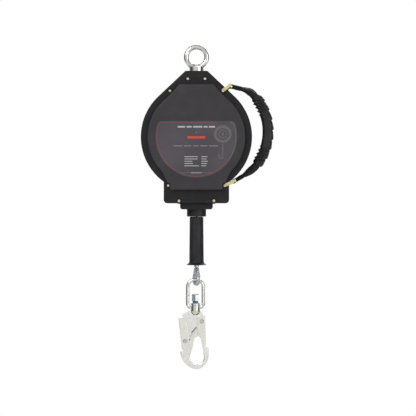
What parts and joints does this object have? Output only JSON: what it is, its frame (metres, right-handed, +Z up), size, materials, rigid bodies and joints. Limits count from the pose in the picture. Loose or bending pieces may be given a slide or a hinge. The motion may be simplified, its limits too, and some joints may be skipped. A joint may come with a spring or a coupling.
{
  "type": "self retracting lifeline",
  "caption": "Black self retracting lifeline block with an anchor eye on top, a side carry handle, and a snap hook on a swivel link below a rubber grip.",
  "frame": {"origin": "centre of the anchor eye at the top", "axes": "+Z up along the lifeline, +X towards the carry handle, the labelled front faces -Y"},
  "size_m": [0.3056, 0.104, 0.7469],
  "materials": {
    "cover_plastic": "moulded, fine texture",
    "gasket_rubber": "matt",
    "zinc_screw": "pale yellow zinc",
    "yellow_zinc": "yellow passivated zinc",
    "label_film": "printed film",
    "zinc_plate": "zinc plated",
    "ground_steel": "ground",
    "plated_eye": "bright plated",
    "spring_steel": "blued",
    "case_alloy": "cast",
    "bush_bronze": "turned",
    "wire_rope": "galvanised strands",
    "nozzle_plastic": "moulded",
    "grip_rubber": "matt moulded",
    "ferrule_alloy": "swaged",
    "thimble_zinc": "bluish zinc",
    "link_steel": "plated",
    "swivel_steel": "zinc plated",
    "band_teal": "coloured band",
    "hook_steel": "satin zinc plated",
    "rivet_steel": "domed heads",
    "webbing": "woven polyester"
  },
  "bodies": {
    "housing": {"front_cover": "cover_plastic", "rear_cover": "cover_plastic", "seam_gasket": "gasket_rubber", "cover_screws": "zinc_screw", "handle_screws": "zinc_screw", "cover_nuts": "zinc_screw", "handle_nuts": "zinc_screw", "upper_yoke": "yellow_zinc", "lower_yoke": "yellow_zinc", "front_label": "label_film", "rear_label": "label_film", "front_frame_plate": "zinc_plate", "rear_frame_plate": "zinc_plate", "frame_spacers": "zinc_plate", "frame_screws": "zinc_plate", "ring_screws": "zinc_plate", "block_screws": "zinc_plate", "suspension_block": "zinc_plate", "shaft_nuts": "zinc_plate", "shaft_washers": "zinc_plate", "main_shaft": "ground_steel", "ratchet_ring": "ground_steel", "power_spring": "spring_steel", "spring_case": "case_alloy", "rope_run": "wire_rope", "rope_stretch": "wire_rope", "rope_guide": "nozzle_plastic", "handle_grip": "grip_rubber", "handle_webbing": "webbing"},
    "anchor_eye": {"eye_bolt": "plated_eye", "eye_washer": "zinc_plate", "eye_nut": "zinc_plate", "eye_cotter": "zinc_plate"},
    "drum": {"drum": "case_alloy", "drum_bushes": "bush_bronze", "rope_winding": "wire_rope", "rope_clamp": "bush_bronze", "pawl_pins": "ground_steel", "pawl_springs": "spring_steel"},
    "pawl_a": {"pawl_a": "ground_steel"},
    "pawl_b": {"pawl_b": "ground_steel"},
    "line_end": {"grip_sleeve": "grip_rubber", "ferrule": "ferrule_alloy", "rope_tail": "wire_rope", "rope_eye": "wire_rope", "thimble": "thimble_zinc"},
    "link": {"swivel_link": "link_steel"},
    "hook": {"hook_body": "hook_steel", "swivel_stud": "swivel_steel", "swivel_flange": "swivel_steel", "load_band": "band_teal", "swivel_nut": "swivel_steel", "gate_rivet": "rivet_steel", "lever_rivet": "rivet_steel", "gate_spring": "spring_steel", "lever_spring": "spring_steel"},
    "gate": {"gate": "hook_steel"},
    "lock_lever": {"lock_lever": "hook_steel"}
  },
  "joints": [
    {"name": "eye_swivel", "type": "hinge", "parent": "housing", "child": "anchor_eye", "pos_m": [0, 0, -0.045], "axis": [0, 0, 1], "continuous": true},
    {"name": "line_pull", "type": "slide", "parent": "housing", "child": "line_end", "axis": [0, 0, -1], "range_m": [0, 15], "stiffness_N_per_m": 1.5, "springref_m": -30, "deforming": ["rope_stretch"]},
    {"name": "drum_spin", "type": "hinge", "parent": "housing", "child": "drum", "pos_m": [0, 0, -0.1845], "axis": [0, -1, 0], "range_deg": [-5, 12250]},
    {"name": "pawl_a_swing", "type": "hinge", "parent": "drum", "child": "pawl_a", "pos_m": [0, -0.0305, -0.1225], "axis": [0, 1, 0], "range_deg": [0, 8.5], "stiffness_Nm_per_rad": 0.02, "springref_deg": -17.19},
    {"name": "pawl_b_swing", "type": "hinge", "parent": "drum", "child": "pawl_b", "pos_m": [0, -0.0305, -0.2465], "axis": [0, 1, 0], "range_deg": [0, 8.5], "stiffness_Nm_per_rad": 0.02, "springref_deg": -17.19},
    {"name": "link_swing", "type": "hinge", "parent": "line_end", "child": "link", "pos_m": [-0.0024, 0, -0.5112], "axis": [1, 0, 0], "range_deg": [-25, 25]},
    {"name": "hook_swivel", "type": "hinge", "parent": "link", "child": "hook", "pos_m": [-0.0024, 0, -0.5829], "axis": [0, 0, 1], "continuous": true},
    {"name": "gate_swing", "type": "hinge", "parent": "hook", "child": "gate", "pos_m": [0.0121, 0, -0.6075], "axis": [0, 1, 0], "range_deg": [0, 18], "stiffness_Nm_per_rad": 0.25, "springref_deg": -34.38},
    {"name": "lever_squeeze", "type": "hinge", "parent": "hook", "child": "lock_lever", "pos_m": [-0.0261, 0, -0.6526], "axis": [0, 1, 0], "range_deg": [0, 7], "stiffness_Nm_per_rad": 0.3, "springref_deg": -28.65}
  ],
  "couplings": [
    {"joint": "drum_spin", "follows": "line_pull", "rad_per_m": 14.242}
  ]
}
